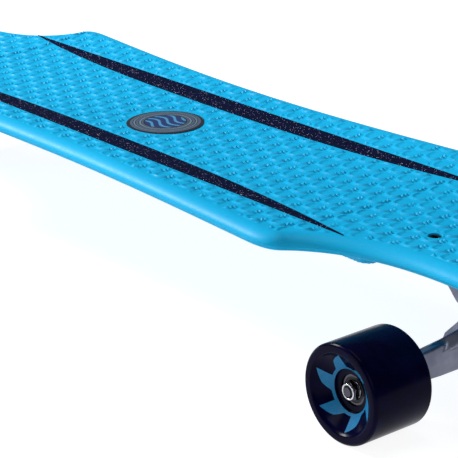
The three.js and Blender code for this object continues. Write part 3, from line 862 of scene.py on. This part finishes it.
def build_wheel(label, end, side):
    axes = wheel_axes(end, side)
    body = f"wheel_body_{label}"
    tyre = ring_solid(tyre_profile(), axes)
    make_piece(f"tyre_{label}", tyre, URETHANE, body, [f"wheel_{label}"])
    make_piece(f"tyre_print_{label}", print_shape(axes), PRINT, body)
    build_bearings(label, axes, body)


def build_bearings(label, axes, body):
    """Outer races turn with the wheel; inner races, speed rings and nut stay with the truck."""
    truck = f"truck_{label.split('_')[0]}"
    outer = BEARING_RADIUS - 0.15
    race = [(8.8, -12.5, 0.3), (outer, -12.5, 0.4), (outer, -5.6), (8.6, -5.6), (8.6, 5.6), (outer, 5.6)]
    race += [(outer, 12.5, 0.4), (8.8, 12.5, 0.3)]
    make_piece(f"bearing_outer_{label}", ring_solid(rounded(race), axes), DARK_STEEL, body,
               [f"bearing_races_{label}"])
    for place, height in (("outer", 11.6), ("inner", -12.2)):
        seal = [(6.75, height), (8.75, height), (8.75, height + 0.6, 0.2), (6.75, height + 0.6, 0.3)]
        make_piece(f"bearing_seal_{place}_{label}", ring_solid(rounded(seal), axes), NYLON, body)
    bore = AXLE_RADIUS + 0.15
    spacer = [(bore, -12.5, 0.3), (6.35, -12.5, 0.4), (6.35, 12.5, 0.4), (bore, 12.5, 0.3)]
    make_piece(f"inner_races_{label}", ring_solid(rounded(spacer), axes), STEEL, truck,
               [f"bearing_spacer_{label}"])
    for place, height in (("outer", 12.6), ("inner", -13.4)):
        ring = [(bore, height), (5.6, height, 0.2), (5.6, height + 0.8, 0.2), (bore, height + 0.8)]
        make_piece(f"speed_ring_{place}_{label}", ring_solid(rounded(ring), axes), ZINC, truck)
    nut = ring_solid(nut_rings(12.7, AXLE_RADIUS + 0.1, 13.5, 17.0), axes)
    make_piece(f"wheel_nut_{label}", nut, DARK_STEEL, truck, [f"axle_nut_{label}"])
    collar = [(4.4, 16.8), (5.9, 16.8, 0.2), (5.7, 18, 0.5), (4.7, 18, 0.4), (4.4, 17.6, 0.2)]
    make_piece(f"nut_collar_{label}", ring_solid(rounded(collar), axes), STEEL, truck)


# ---- Stage, light and camera ---------------------------------------------------------------------
def build_stage():
    finish = Finish("pale_floor", (0.3, 0.3, 0.3), 0.7, specular=0.05)
    finish.spread(finish.noise(40, 2), 0.66, 0.76, "Roughness")
    finish.shader.inputs["Emission Color"].default_value = (1, 1, 1, 1)
    finish.shader.inputs["Emission Strength"].default_value = 0.9
    mesh = bpy.data.meshes.new("floor")
    reach = 14
    mesh.from_pydata([(-reach, -reach, 0), (reach, -reach, 0), (reach, reach, 0), (-reach, reach, 0)],
                     [], [(0, 1, 2, 3)])
    mesh.materials.append(finish.material)
    floor = bpy.data.objects.new("floor", mesh)
    bpy.context.scene.collection.objects.link(floor)


def area_light(name, place, size, power, color=(1, 1, 1)):
    """A square soft box that faces the middle of the board."""
    data = bpy.data.lights.new(name, "AREA")
    data.size = size
    data.energy = power
    data.color = color
    light = bpy.data.objects.new(name, data)
    bpy.context.scene.collection.objects.link(light)
    light.location = place
    aim = -light.location
    light.rotation_euler = aim.to_track_quat("-Z", "Y").to_euler()


def build_lights():
    world = bpy.data.worlds.new("studio")
    bpy.context.scene.world = world
    world.use_nodes = True
    world.node_tree.nodes["Background"].inputs["Color"].default_value = (0.95, 0.97, 1, 1)
    world.node_tree.nodes["Background"].inputs["Strength"].default_value = 0.08
    area_light("key", (-2.5, -1.0, 2.1), 0.8, 150)
    area_light("front", (-0.6, -2.9, 1.3), 1.0, 15)
    area_light("fill", (2.4, -1.2, 1.6), 1.6, 14)
    area_light("overhead", (0.0, 0.4, 3.0), 1.8, 25)


def build_camera():
    """The photographer stood in front of the board, to its right, a little above it."""
    place = (1.18504, -0.88191, 0.56685)
    azimuth = math.radians(51.41)
    elevation = math.radians(20.358)
    roll = math.radians(-0.999)
    right = np.array([math.cos(azimuth), math.sin(azimuth), 0])
    back = np.array([
        math.sin(azimuth) * math.cos(elevation), -math.cos(azimuth) * math.cos(elevation),
        math.sin(elevation),
    ])
    up = np.cross(back, right)
    turned_right = math.cos(roll) * right + math.sin(roll) * up
    turned_up = -math.sin(roll) * right + math.cos(roll) * up
    data = bpy.data.cameras.new("camera")
    data.lens = 150.1
    data.sensor_width = 36
    data.clip_end = 60
    camera = bpy.data.objects.new("camera", data)
    bpy.context.scene.collection.objects.link(camera)
    matrix = Matrix.Identity(4)
    for column, axis in enumerate((turned_right, turned_up, back, place)):
        for row in range(3):
            matrix[row][column] = axis[row]
    camera.matrix_world = matrix
    bpy.context.scene.camera = camera


# ---- Assembly ------------------------------------------------------------------------------------
build_deck()
build_stripes()
build_badge()
build_deck_bolts()
for truck_label, truck_end in (("front", 1), ("rear", -1)):
    build_truck(truck_label, truck_end)
    for wheel_hand, wheel_side in (("left", 1), ("right", -1)):
        build_wheel(f"{truck_label}_{wheel_hand}", truck_end, wheel_side)
build_stage()
build_lights()
build_camera()
bpy.context.scene.view_settings.view_transform = "Standard"
